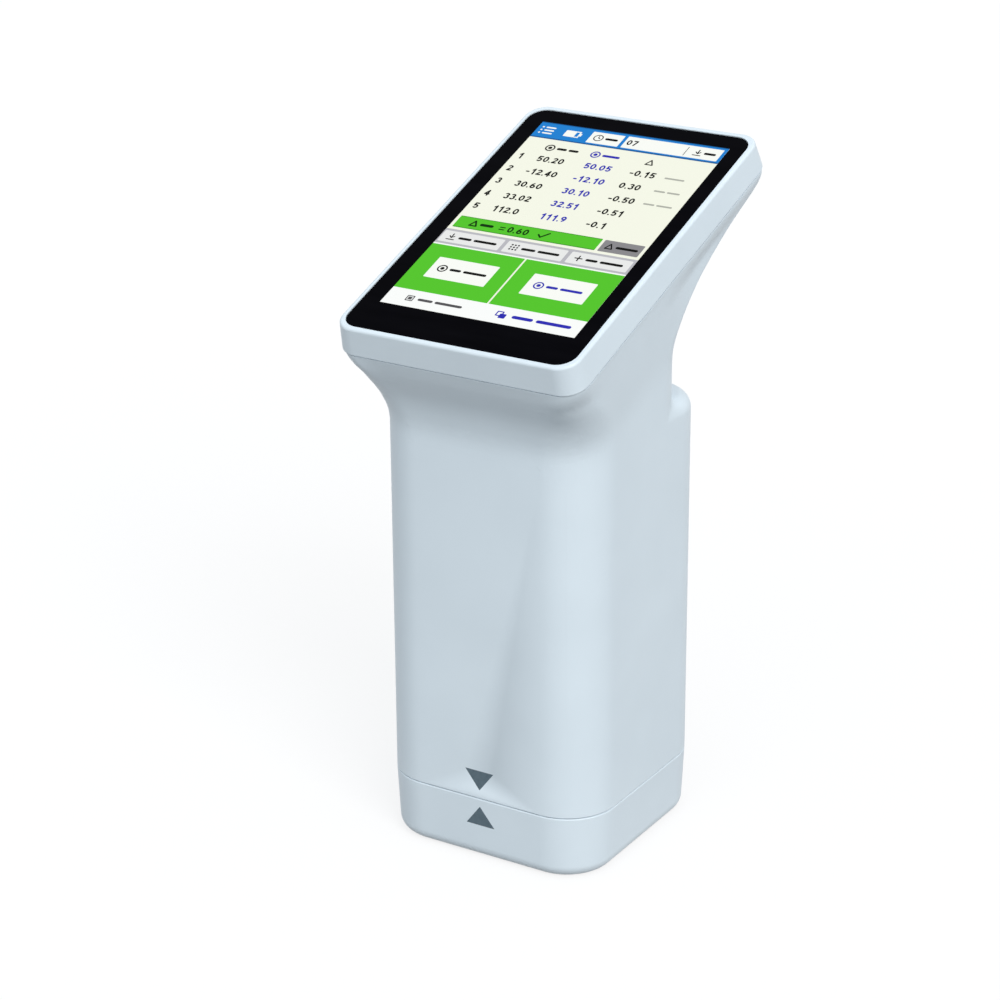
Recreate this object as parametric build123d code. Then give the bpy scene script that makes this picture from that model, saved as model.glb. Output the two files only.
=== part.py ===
from build123d import *
import math
import os

# Portable colorimeter, in millimetres. The origin is the centre of the cap's underside, on the
# surface that the instrument stands on. +Z is up, -Y is the front and +X is the right-hand side.
# The calibration cap stays on the surface, and the instrument lifts straight off it.

# Cutting tools reach this far, pass this much through a face, and leave this much round a fitted part
far = 100.0
through = 1.0
fit_gap = 0.1

# Tower, neck and head of the housing
tower_half_x = 28.2
tower_half_y = 27.5
tower_corner = 12.3
wall = 2.2
shoulder_top = 104.0
shoulder_round = 3.6
neck_rear_y = 18.2
block_top = 94.0
neck_start_depth = 30.0

# The glass: its centre, its lean from the horizontal, and its size
glass_centre_y = 4.1
glass_centre_z = 142.2
glass_tilt = 20.2
glass_half_x = 28.75
glass_half_y = 43.75
glass_corner = 4.2
glass_thickness = 1.1
glass_recess = 0.1

# Head frame round the glass
frame_lip = 1.2
frame_rear_lip = 1.55
frame_flare = 0.75
frame_edge_round = 0.65
frame_corner = 5.15
frame_depth = 6.87
seam_gap = 0.08
seam_step = 0.12
ledge_top = 1.4
ledge_bottom = 3.9
opening_half_x = 27.2
opening_front = -41.0
opening_rear = 41.7
opening_corner = 2.0
pocket_end_gap = 0.7
panel_front = -40.6
panel_rear = 41.3
panel_half_x = 26.8

# Underside of the head, from the neck up to the seam: how deep a point lies under the glass face,
# and how far it lies from the glass centre, on the front profile and on the rear profile
front_profile = [
    (28, 44.06), (26, 43.6), (24, 43.42), (22, 43.44), (20, 43.62),
    (17.5, 44.1), (15, 44.8), (12.5, 45.4), (10, 45.68),
]
rear_profile = [
    (23, 7.5), (20, 11.4), (17.5, 17.2), (15, 26.2), (13.4, 34.2),
    (12.2, 41.2), (11.3, 45.2), (10.4, 46.45), (9.2, 46.5),
]
level_count = 30
widening_depth = 13.6

# Calibration cap
cap_height = 15.55
cap_foot_half_x = 27.4
cap_foot_half_y = 26.8
cap_foot_corner = 11.5
cap_edge_round = 3.2
cap_floor = 2.5
cap_bore_half_x = 26.0
cap_bore_half_y = 25.3
cap_bore_corner = 10.1
body_bottom = 15.85

# White tile and its holder in the cap
tile_radius = 12.0
tile_low = 4.5
tile_top = 7.3
holder_radius = 15.0
holder_lip_radius = 10.0
holder_top = 8.1
ear_ring = 17.3
magnet_x = 19.5
magnet_radius = 2.4
magnet_height = 1.5
magnet_post_top = 8.2
magnet_post_radius = 3.4
ear_radius = 2.5
ear_top = 4.0
ear_hole_low = 0.9

# Measuring end
plate_half_x = 25.6
plate_half_y = 24.9
plate_corner = 9.7
plate_low = 8.5
plate_floor_top = 10.7
plate_wall = 1.8
boss_low = 24.0
boss_high = 36.0
boss_x = 20.6
boss_y = 19.9
boss_radius = 3.6
post_radius = 3.0
pilot_radius = 1.25
screw_seat = 11.0
screw_head_radius = 2.1
nose_radius = 8.0
aperture_radius = 4.0
aperture_land = 1.5

# Optics
sphere_z = 28.5
sphere_outer = 18.5
sphere_inner = 16.5
flange_radius = 22.5
flange_half = 1.5
flange_ring = 20.7
view_tilt = 8.0
tube_low = 41.5
tube_top = 56.0
tube_radius = 6.0
lens_seat = 46.0
lens_radius = 4.4
board_thickness = 1.2
sensor_board_half = 10.0
ribbon_half_x = 5.0
ribbon_y = -16.3
ribbon_thickness = 0.25
ribbon_top = 114.2
lamp_tilt = 60.0
lamp_seat = 20.5
lamp_seat_radius = 5.5
lamp_hole_radius = 3.6
lamp_board_radius = 7.0
led_ring = 1.9
led_half = 0.8

# Inner frame, battery and boards
deck_low = 66.0
deck_high = 68.0
battery_low_y = 3.5
battery_high_y = 13.5
battery_top = 118.0
rail_inner_x = 17.3
rail_outer_x = 18.8
rail_rear_y = 15.4
rail_wall = 1.5
rail_top = 100.0
lead_x = 9.0
lead_socket_x = 11.5
lead_y = 8.5
lead_end_z = 130.2

# Charge port and power key on the rear face
port_z = 55.83
port_half_x = 4.8
port_half_z = 1.95
port_screw_x = 8.0
port_screw_y = 13.5
port_board_low = 53.0
port_board_top = 54.2
key_z = 88.0
key_half_x = 7.0
key_half_z = 3.5
key_gap = 0.3
key_top_y = 28.0
key_flange_y = 25.2
key_board_y = 17.0
switch_y = 18.2

# Bracket and main board in the head: depths under the glass face, and places on it
bracket_half_x = 28.3
bracket_half_y = 44.0
bracket_depth = 4.9
bracket_screw_x = 20.0
bracket_screw_front = -42.6
bracket_screw_rear = 42.9
standoff_x = 21.0
standoff_front = -33.0
standoff_rear = 28.0
board_depth = 8.0
board_back = 9.6
flex_half_x = 7.5
flex_front = -35.2
flex_thickness = 0.2
flex_depth = 6.4

# Triangular alignment marks on the front
mark_width = 7.5
mark_height = 4.9
mark_depth = 0.3
body_mark_z = 17.8
cap_mark_z = 13.6

tilt = math.radians(glass_tilt)
head_plane = Plane(
    origin=(0, glass_centre_y, glass_centre_z),
    x_dir=(1, 0, 0),
    z_dir=(0, -math.sin(tilt), math.cos(tilt)),
)


# Basic shapes

def soft_outline(half_x, front, rear, radius, stretch=1.0):
    # a rectangle from front to rear with rounded corners, stretched along Y for a slanted cut
    reach = radius * stretch
    corners = [
        (half_x - radius, front + reach, -90),
        (half_x - radius, rear - reach, 0),
        (radius - half_x, rear - reach, 90),
        (radius - half_x, front + reach, 180),
    ]
    arcs = []
    for x, y, start in corners:
        arcs.append(EllipticalCenterArc((x, y), radius, reach, start, arc_size=90))
    edges = []
    for index, arc in enumerate(arcs):
        following = arcs[(index + 1) % 4]
        edges.append(arc)
        edges.append(Line(arc @ 1, following @ 0))
    return Wire(edges)


def soft_prism(half_x, front, rear, radius, low, high):
    face = Face(soft_outline(half_x, front, rear, radius))
    return Pos(0, 0, low) * extrude(face, high - low)


def disc(radius, low, high, x=0.0, y=0.0):
    return Pos(x, y, low) * extrude(Circle(radius), high - low)


def block(x_low, x_high, y_low, y_high, z_low, z_high):
    size = (x_high - x_low, y_high - y_low, z_high - z_low)
    centre = ((x_low + x_high) / 2, (y_low + y_high) / 2, (z_low + z_high) / 2)
    return Pos(*centre) * Box(*size)


def group(pieces):
    return Compound(children=[piece.solid() for piece in pieces])


def in_head(part):
    # parts of the head are drawn flat, with their height over the glass face as Z
    return head_plane.location * part


def screw(x, y, seat, head_radius, head_height, shank_radius, tip):
    # the head stands on the seat, on the side away from the tip
    towards = 1 if tip > seat else -1
    head_far = seat - towards * head_height
    head = disc(head_radius, min(seat, head_far), max(seat, head_far), x, y)
    shank = disc(shank_radius, min(seat, tip), max(seat, tip), x, y)
    socket_end = head_far + towards * head_height * 0.5
    socket = extrude(RegularPolygon(head_radius * 0.5, 6), head_height * 0.5)
    return head + shank - Pos(x, y, min(head_far, socket_end)) * socket


# Housing

def along_at(y, depth):
    # where the upright plane at y crosses a level of the head, measured from the glass centre
    return (y - glass_centre_y - depth * math.sin(tilt)) / math.cos(tilt)


def smooth(start, end, value):
    share = min(max((value - start) / (end - start), 0.0), 1.0)
    return share * share * (3 - 2 * share)


def head_wire(depth, front, rear, inset):
    seam_half_x = glass_half_x + frame_lip + frame_flare - seam_step
    widening = smooth(widening_depth, frame_depth, depth)
    tightening = smooth(neck_start_depth, 3.0, depth)
    half_x = tower_half_x + (seam_half_x - tower_half_x) * widening
    radius = tower_corner + (frame_corner - tower_corner) * tightening
    upright_stretch = 1 / math.cos(tilt)
    stretch = upright_stretch + (1 - upright_stretch) * tightening
    outline = soft_outline(half_x - inset, front, rear, radius - inset, stretch)
    return head_plane.offset(-depth).location * outline


def curve_slope(points, index):
    # the slope of a smooth curve at one of its points, level at a peak so that nothing overshoots
    before = points[max(index - 1, 0)]
    here = points[index]
    after = points[min(index + 1, len(points) - 1)]
    if before == here or after == here:
        return (after[1] - before[1]) / (after[0] - before[0])
    first = (here[1] - before[1]) / (here[0] - before[0])
    second = (after[1] - here[1]) / (after[0] - here[0])
    if first * second <= 0:
        return 0.0
    return 2 * first * second / (first + second)


def curve_at(points, depth):
    # a smooth curve through the points, which run from the deepest to the shallowest
    index = 0
    while index < len(points) - 2 and depth < points[index + 1][0]:
        index += 1
    span = points[index + 1][0] - points[index][0]
    share = (depth - points[index][0]) / span
    rise = smooth(0.0, 1.0, share)
    reach = points[index][1] + (points[index + 1][1] - points[index][1]) * rise
    start_pull = share * (1 - share) * (1 - share) * span * curve_slope(points, index)
    end_pull = share * share * (1 - share) * span * curve_slope(points, index + 1)
    return reach + start_pull - end_pull


def reach_inside(points, depth, inset):
    # the profile's reach at this depth, drawn in square to its slope by the wall's thickness
    step = 0.2
    slope = (curve_at(points, depth - step) - curve_at(points, depth + step)) / (2 * step)
    return curve_at(points, depth) - inset * math.sqrt(1 + slope * slope)


def head_form(inset, top_depth):
    front_reach_at_seam = glass_half_y + frame_lip + frame_flare - seam_step
    rear_reach_at_seam = glass_half_y + frame_rear_lip + frame_flare - seam_step
    front_straight = [neck_start_depth + step for step in (2, 0)]
    rear_straight = [neck_start_depth + step for step in (2, 0, -2, -4)]
    front = [(depth, -along_at(-tower_half_y, depth)) for depth in front_straight] + front_profile
    rear = [(depth, along_at(neck_rear_y, depth)) for depth in rear_straight] + rear_profile
    front.append((frame_depth, front_reach_at_seam))
    rear.append((frame_depth, rear_reach_at_seam))
    wires = []
    for index in range(level_count):
        depth = neck_start_depth + (top_depth - neck_start_depth) * index / (level_count - 1)
        front_reach = reach_inside(front, depth, inset)
        rear_reach = reach_inside(rear, depth, inset)
        wires.append(head_wire(depth, -front_reach, rear_reach, inset))
    return Solid.make_loft(wires)


def housing_form(inset, low, top_depth):
    half_x = tower_half_x - inset
    half_y = tower_half_y - inset
    radius = tower_corner - inset
    tower = soft_prism(half_x, -half_y, half_y, radius, low, block_top)
    shoulder = soft_prism(half_x, -half_y, half_y, radius, block_top, shoulder_top - inset)
    shoulder = fillet(shoulder.faces().sort_by(Axis.Z)[-1].edges(), shoulder_round - inset)
    shoulder = shoulder & block(-far, far, 0, far, 0, 2 * far)
    neck = soft_prism(half_x, -half_y, neck_rear_y - inset, radius, block_top, glass_centre_z)
    neck = neck & in_head(block(-far, far, -far, far, -neck_start_depth - far, -neck_start_depth))
    return tower + shoulder + neck + head_form(inset, top_depth)


def corner_places(x, y):
    return [(x, y), (-x, y), (-x, -y), (x, -y)]


def mark_prism(tip_z, pointing):
    # a triangle in the front view, run forward through the front wall
    base_z = tip_z - pointing * mark_height
    points = [(-mark_width / 2, base_z), (mark_width / 2, base_z), (0, tip_z)]
    face = Plane.XZ * make_face(Polyline(*points, close=True))
    return Pos(0, -boss_y, 0) * extrude(face, boss_x)


def pill(half_length, radius, y_low, y_high, z):
    # a round-ended bar along X, run along Y
    face = Plane.XZ * SlotOverall(half_length * 2, radius * 2)
    return Pos(0, y_high, z) * extrude(face, y_high - y_low)


def make_body_shell():
    seam_depth = frame_depth + seam_gap
    hollow = housing_form(wall, body_bottom - 2 * through, seam_depth - 1.5 * through)
    shell = housing_form(0, body_bottom, seam_depth) - hollow
    for x, y in corner_places(boss_x, boss_y):
        shell = shell + disc(boss_radius, boss_low, boss_high, x, y)
        shell = shell - disc(pilot_radius, boss_low - through, boss_high + through, x, y)
    shell = shell - pill(port_half_x, port_half_z, boss_y, far, port_z)
    shell = shell - pill(key_half_x + key_gap, key_half_z + key_gap, boss_y, far, key_z)
    return shell - body_mark_form()


def body_mark_form():
    front_skin = block(-mark_width, mark_width, -tower_half_y, -tower_half_y + mark_depth, 0, far)
    return mark_prism(body_mark_z, -1) & front_skin


# Calibration cap

def cap_form():
    foot = soft_outline(cap_foot_half_x, -cap_foot_half_y, cap_foot_half_y, cap_foot_corner)
    rim = soft_outline(tower_half_x, -tower_half_y, tower_half_y, tower_corner)
    form = Solid.make_loft([foot, Pos(0, 0, cap_height) * rim], ruled=True)
    form = fillet(form.faces().sort_by(Axis.Z)[0].edges(), cap_edge_round)
    return fillet(form.faces().sort_by(Axis.Z)[-1].edges(), 0.3)


def cap_mark_form():
    back_y = -cap_foot_half_y - mark_depth / 2
    skin = block(-mark_width, mark_width, -far, back_y, 0, cap_height)
    return cap_form() & mark_prism(cap_mark_z, 1) & skin


def make_cap_shell():
    half_x = cap_bore_half_x
    half_y = cap_bore_half_y
    shell = cap_form() - soft_prism(half_x, -half_y, half_y, cap_bore_corner, cap_floor, cap_height + through)
    seat = magnet_post_top - magnet_height
    for x in (-magnet_x, magnet_x):
        post = disc(magnet_post_radius, cap_floor, magnet_post_top, x)
        shell = shell + post - disc(magnet_radius, seat, magnet_post_top + through, x)
    for x, y in ear_places():
        shell = shell - disc(1.0, ear_hole_low, cap_floor + through, x, y)
    return shell - cap_mark_form()


def ear_places():
    reach = ear_ring * math.cos(math.radians(45))
    return corner_places(reach, reach)


def make_tile_holder():
    holder = disc(holder_radius, cap_floor, holder_top)
    for x, y in ear_places():
        holder = holder + disc(ear_radius, cap_floor, ear_top, x, y)
    holder = holder - disc(tile_radius + fit_gap, cap_floor - through, tile_top)
    holder = holder - disc(holder_lip_radius, cap_floor, holder_top + through)
    for x, y in ear_places():
        holder = holder - disc(1.1, cap_floor - through, ear_top + through, x, y)
    inner_rim = holder.edges().filter_by(GeomType.CIRCLE).sort_by(Axis.Z)[-1]
    return chamfer(inner_rim, 0.4)


def make_white_tile():
    tile = disc(tile_radius, tile_low, tile_top)
    return fillet(tile.edges().filter_by(GeomType.CIRCLE), 0.3)


def make_tile_screws():
    tip = ear_hole_low + 0.3
    return group([screw(x, y, ear_top, 1.9, 1.2, 0.9, tip) for x, y in ear_places()])


def make_cap_magnets():
    low = magnet_post_top - magnet_height
    return group([disc(magnet_radius, low, magnet_post_top, x) for x in (-magnet_x, magnet_x)])


# Measuring end

def make_base_plate():
    cup = soft_prism(plate_half_x, -plate_half_y, plate_half_y, plate_corner, plate_low, boss_low)
    cup = fillet(cup.faces().sort_by(Axis.Z)[0].edges(), 0.8)
    hollow_x = plate_half_x - plate_wall
    hollow_y = plate_half_y - plate_wall
    corner = plate_corner - plate_wall
    hollow = soft_prism(hollow_x, -hollow_y, hollow_y, corner, plate_floor_top, boss_low + through)
    below = plate_low - through
    cup = cup - hollow - disc(nose_radius, below, plate_floor_top + through)
    for x, y in corner_places(boss_x, boss_y):
        cup = cup + disc(post_radius, plate_floor_top, boss_low, x, y)
        cup = cup - disc(screw_head_radius + 0.3, below, screw_seat, x, y)
        cup = cup - disc(pilot_radius, below, boss_low + through, x, y)
    for x in (-magnet_x, magnet_x):
        cup = cup - disc(magnet_radius, below, plate_low + magnet_height, x)
    return cup


def make_base_magnets():
    high = plate_low + magnet_height
    return group([disc(magnet_radius, plate_low + fit_gap, high, x) for x in (-magnet_x, magnet_x)])


def make_base_screws():
    tip = boss_high + 7
    places = corner_places(boss_x, boss_y)
    return group([screw(x, y, screw_seat, screw_head_radius, 1.6, 1.0, tip) for x, y in places])


def make_aperture_ring():
    flange = fillet(disc(nose_radius + 1.2, tile_top, plate_low).edges().sort_by(Axis.Z)[0], 0.4)
    body = flange + disc(nose_radius, plate_low, plate_floor_top)
    flare_low = tile_top + aperture_land
    body = body - disc(aperture_radius, tile_top - through, flare_low + fit_gap)
    flare = Cone(aperture_radius, aperture_radius + 0.6, plate_floor_top - flare_low)
    return body - Pos(0, 0, (flare_low + plate_floor_top) / 2) * flare


# Optics: the integrating sphere in two halves, the viewing tube and the lamps

def view_plane():
    lean = math.radians(view_tilt)
    return Plane(origin=(0, 0, tile_top), x_dir=(math.cos(lean), 0, -math.sin(lean)),
                 z_dir=(math.sin(lean), 0, math.cos(lean)))


def in_view(part):
    return view_plane().location * part


def in_lamp(part, side):
    lean = math.radians(lamp_tilt)
    plane = Plane(origin=(0, 0, sphere_z), x_dir=(1, 0, 0),
                  z_dir=(0, side * math.sin(lean), math.cos(lean)))
    return plane.location * part


def make_sphere_lower():
    ball = Pos(0, 0, sphere_z) * Sphere(sphere_outer)
    ball = ball & block(-far, far, -far, far, plate_floor_top, sphere_z)
    half = ball + disc(flange_radius, sphere_z - flange_half, sphere_z)
    half = half + disc(nose_radius + 3, plate_floor_top, sphere_z - sphere_inner + 1.4)
    half = half - Pos(0, 0, sphere_z) * Sphere(sphere_inner)
    half = half - disc(aperture_radius + 0.6, 0, sphere_z - sphere_inner + 4)
    for x, y in flange_places():
        half = half - disc(0.85, sphere_z - 4, sphere_z + through, x, y)
    return half


def make_sphere_upper():
    ball = Pos(0, 0, sphere_z) * Sphere(sphere_outer)
    ball = ball & block(-far, far, -far, far, sphere_z, far)
    half = ball + disc(flange_radius, sphere_z, sphere_z + flange_half)
    half = half + in_view(disc(tube_radius, 36, tube_low))
    for side in (-1, 1):
        half = half + in_lamp(disc(lamp_seat_radius, sphere_inner + 0.3, lamp_seat), side)
    half = half - Pos(0, 0, sphere_z) * Sphere(sphere_inner) - in_view(disc(3.0, 30, tube_low + through))
    for side in (-1, 1):
        half = half - in_lamp(disc(lamp_hole_radius, 10, lamp_seat + through), side)
    for x, y in flange_places():
        half = half - disc(0.95, sphere_z - through, sphere_z + 4, x, y)
    return half


def flange_places():
    return [(flange_ring, 0), (0, flange_ring), (-flange_ring, 0), (0, -flange_ring)]


def make_sphere_screws():
    seat = sphere_z + flange_half
    return group([screw(x, y, seat, 1.5, 1.1, 0.8, sphere_z - 1.2) for x, y in flange_places()])


def make_viewing_tube():
    tube = disc(tube_radius, tube_low, tube_top)
    tube = tube - disc(lens_radius + fit_gap, lens_seat, tube_top + through)
    return in_view(tube - disc(lens_radius - 0.9, tube_low - through, lens_seat + through))


def make_viewing_lens():
    # a lens with two domed faces, seated on the tube's shoulder
    curve = 9.5
    middle = lens_seat + 2.1
    dome = Pos(0, 0, middle + curve - 1) * Sphere(curve) & Pos(0, 0, middle - curve + 1) * Sphere(curve)
    return in_view((dome & disc(lens_radius, lens_seat, tube_top)).solid())


def make_sensor_board():
    half = sensor_board_half
    return in_view(block(-half, half, -half, half, tube_top, tube_top + board_thickness))


def make_sensor_chip():
    return in_view(block(-2.5, 2.5, -2.5, 2.5, tube_top - 1.4, tube_top))


def make_sensor_ribbon():
    # lies on the sensor board, then turns up the front of the tower
    low = tube_top + board_thickness
    half_x = ribbon_half_x
    flat = block(-half_x, half_x, ribbon_y, -7, low, low + ribbon_thickness)
    upright = block(-half_x, half_x, ribbon_y, ribbon_y + ribbon_thickness, low, ribbon_top)
    return in_view(flat + upright)


def make_lamp_board(side):
    return in_lamp(disc(lamp_board_radius, lamp_seat, lamp_seat + board_thickness), side)


def make_lamp_leds():
    leds = []
    for side in (-1, 1):
        for turn in (0, 120, 240):
            x = led_ring * math.cos(math.radians(turn))
            y = led_ring * math.sin(math.radians(turn))
            led = Pos(x, y, lamp_seat - led_half / 2) * Box(2 * led_half, 2 * led_half, led_half)
            leds.append(in_lamp(led, side))
    return group(leds)


# Inner frame, battery, charge port and key

def make_inner_frame():
    deck = soft_prism(plate_half_x, -plate_half_y, plate_half_y, plate_corner, deck_low, deck_high)
    # slots for the sensor ribbon and for cooling
    deck = deck - block(-3, 19, -20, -13.5, deck_low - through, deck_high + through)
    deck = deck - block(-12, 12, -10, -2, deck_low - through, deck_high + through)
    for x, y in corner_places(boss_x, boss_y):
        deck = deck + disc(post_radius, boss_high, deck_low, x, y)
        deck = deck - disc(1.1, boss_high - through, boss_high + 8, x, y)
    for x in (-port_screw_x, port_screw_x):
        deck = deck + disc(1.9, port_board_top, deck_low, x, port_screw_y)
        deck = deck - disc(0.9, port_board_top - through, port_board_top + 5.8, x, port_screw_y)
    # rails round the battery, with pads behind for the key's board
    outer = rail_outer_x
    for low_x in (-outer, rail_inner_x):
        deck = deck + block(low_x, low_x + rail_wall, 2, rail_rear_y, deck_high, rail_top)
    deck = deck + block(-outer, outer, rail_rear_y - rail_wall, rail_rear_y, deck_high, rail_top)
    for side in (-1, 1):
        for z in (key_z - 4.8, key_z + 4.8):
            deck = deck + Pos(side * key_half_x, 0, z) * pill(1.6, 1.55, rail_rear_y, key_board_y, 0)
    return deck


def make_battery_cell():
    half_x = rail_inner_x - 0.3
    cell = block(-half_x, half_x, battery_low_y, battery_high_y, deck_high, battery_top)
    return fillet(cell.edges().filter_by(Axis.Z), 2.5)


def make_battery_lead():
    points = [
        (lead_x, lead_y, battery_top),
        (lead_x, lead_y, battery_top + 4),
        (lead_socket_x, lead_y, lead_end_z - 3.7),
        (lead_socket_x, lead_y, lead_end_z),
    ]
    path = FilletPolyline(*points, radius=3.5)
    section = Plane(origin=path @ 0, z_dir=path % 0) * Circle(1.0)
    return sweep(section, path=path)


def make_charge_board():
    board = block(-10.5, 10.5, 11, tower_half_y - wall - 0.4, port_board_low, port_board_top)
    for x in (-port_screw_x, port_screw_x):
        board = board - disc(0.95, port_board_low - through, port_board_top + through, x, port_screw_y)
    return board


def make_charge_board_screws():
    screws = []
    for x in (-port_screw_x, port_screw_x):
        screws.append(screw(x, port_screw_y, port_board_low, 1.5, 1.1, 0.8, port_board_top + 4.8))
    return group(screws)


def make_charge_socket():
    # a standard oval receptacle, open to the rear
    rear = tower_half_y - 0.6
    outer = pill(4.47, 1.63, rear - 7.5, rear, port_z)
    return outer - pill(4.17, 1.33, rear - 6.5, rear + through, port_z)


def make_charge_tongue():
    rear = tower_half_y - 1.3
    return block(-3.35, 3.35, rear - 5.8, rear, port_z - 0.35, port_z + 0.35)


def make_button_board():
    return block(-9, 9, key_board_y, switch_y, key_z - 7.5, key_z + 7.5)


def make_button_switch():
    body = block(-3, 3, switch_y, switch_y + 3.4, key_z - 3, key_z + 3)
    body = chamfer(body.edges().filter_by(Axis.Y), 0.4)
    return body + pill(1.65, 1.6, switch_y + 3.4, switch_y + 4.2, key_z)


def make_power_key():
    # the face, the flange that keeps it in the wall, and the stem that meets the switch
    cap = pill(key_half_x, key_half_z, key_flange_y, key_top_y, key_z)
    cap = fillet(cap.faces().sort_by(Axis.Y)[-1].edges(), 0.6)
    flange = pill(key_half_x + 1.6, key_half_z + 1.4, key_flange_y - 1.6, key_flange_y, key_z)
    stem = pill(2.0, 1.95, key_flange_y - 2.2, key_flange_y - 1.6, key_z)
    dimple = Pos(0, key_top_y, key_z) * Sphere(1.0)
    return cap + flange + stem - dimple


# Head: frame, glass, panel, bracket and main board, drawn flat on the glass face

def head_slab(half_x, half_y, radius, top, bottom):
    return soft_prism(half_x, -half_y, half_y, radius, -bottom, -top)


def make_head_frame():
    half_x = glass_half_x + frame_lip
    front = -glass_half_y - frame_lip
    rear = glass_half_y + frame_rear_lip
    top = soft_outline(half_x, front, rear, frame_corner - frame_flare / 2)
    seam = soft_outline(half_x + frame_flare, front - frame_flare, rear + frame_flare, frame_corner)
    frame = Solid.make_loft([Pos(0, 0, -frame_depth) * seam, top], ruled=True)
    frame = fillet(frame.faces().sort_by(Axis.Z)[-1].edges(), frame_edge_round)
    frame = fillet(frame.faces().sort_by(Axis.Z)[0].edges(), 0.3)
    # the glass's seat, the window, and the pocket for the bracket under the ledge
    pocket_x = glass_half_x + fit_gap
    corner = glass_corner + fit_gap
    frame = frame - head_slab(pocket_x, glass_half_y + fit_gap, corner, -through, ledge_top)
    frame = frame - head_window(-ledge_bottom - through, 0)
    frame = frame - head_slab(pocket_x, glass_half_y + pocket_end_gap, corner, ledge_bottom, frame_depth + 3)
    for x, y in bracket_screw_places():
        frame = frame - disc(0.75, -ledge_bottom - through, -ledge_top - 0.5, x, y)
    return in_head(frame)


def head_window(low, high):
    return soft_prism(opening_half_x, opening_front, opening_rear, opening_corner, low, high)


def bracket_screw_places():
    ends = (bracket_screw_front, bracket_screw_rear)
    return [(x, y) for y in ends for x in (-bracket_screw_x, bracket_screw_x)]


def make_cover_glass():
    glass = head_slab(glass_half_x, glass_half_y, glass_corner, glass_recess, glass_recess + glass_thickness)
    glass = chamfer(glass.faces().sort_by(Axis.Z)[-1].edges(), 0.12)
    return in_head(glass)


def make_glass_tape():
    low = glass_recess + glass_thickness
    tape = head_slab(glass_half_x - 0.15, glass_half_y - 0.15, glass_corner, low, ledge_top)
    return in_head(tape - head_window(-ledge_bottom, 0))


def make_display_panel():
    top = -glass_recess - glass_thickness
    return in_head(soft_prism(panel_half_x, panel_front, panel_rear, 0.6, -ledge_bottom, top))


def make_display_bracket():
    plate = head_slab(bracket_half_x, bracket_half_y, glass_corner, ledge_bottom, bracket_depth)
    slot_half_x = flex_half_x + 1
    slot_front = flex_front - 1.8
    plate = plate - block(-slot_half_x, slot_half_x, slot_front, slot_front + 7, -bracket_depth - through, 0)
    for x, y in standoff_places():
        plate = plate + disc(2.2, -board_depth, -bracket_depth, x, y)
        plate = plate - disc(0.9, -board_depth - through, -bracket_depth - 0.5, x, y)
    for x, y in bracket_screw_places():
        plate = plate - disc(0.8, -bracket_depth - through, 0, x, y)
    return in_head(plate)


def standoff_places():
    ends = (standoff_front, standoff_rear)
    return [(x, y) for y in ends for x in (-standoff_x, standoff_x)]


def make_bracket_screws():
    tip = -ledge_top - 0.7
    screws = [screw(x, y, -bracket_depth, 1.2, 0.8, 0.6, tip) for x, y in bracket_screw_places()]
    return group([in_head(piece) for piece in screws])


def make_main_board():
    board = soft_prism(standoff_x + 3.5, standoff_front - 5, standoff_rear + 5, 2, -board_back, -board_depth)
    for x, y in standoff_places():
        board = board - disc(0.95, -board_back - through, -board_depth + through, x, y)
    return in_head(board)


def make_board_screws():
    tip = -bracket_depth - 0.9
    screws = [screw(x, y, -board_back, 1.6, 1.1, 0.8, tip) for x, y in standoff_places()]
    return group([in_head(piece) for piece in screws])


def make_board_parts():
    # processor, memory, the battery, sensor and display connectors, and a radio can
    back = -board_back
    front = -board_depth
    parts = [
        block(-6, 6, -6, 6, back - 1.2, back),
        block(-16, -8, -4, 6, back - 1.0, back),
        block(8, 15, -3.5, 2.5, back - 2.8, back),
        block(10.5, 21.5, -28.5, -23, back - 3.0, back),
        block(-8, 8, -30.8, -28, front, front + 1.4),
        block(-14, 10, 4, 22, front, front + 1.6),
    ]
    return group([in_head(piece) for piece in parts])


def make_display_ribbon():
    # leaves the panel's back, turns through the bracket's slot and ends on the connector
    bend = -flex_depth
    upright = block(-flex_half_x, flex_half_x, flex_front, flex_front + flex_thickness, bend, -ledge_bottom)
    flat = block(-flex_half_x, flex_half_x, flex_front, -28.4, bend - flex_thickness, bend)
    return in_head(upright + flat)


def make_buzzer():
    low = -board_back - 3.2
    can = disc(4.5, low, -board_back, -15, -16)
    return in_head(can - disc(0.8, low - through, low + 0.8, -15, -16))


# All the pieces, each under its own name

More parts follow.
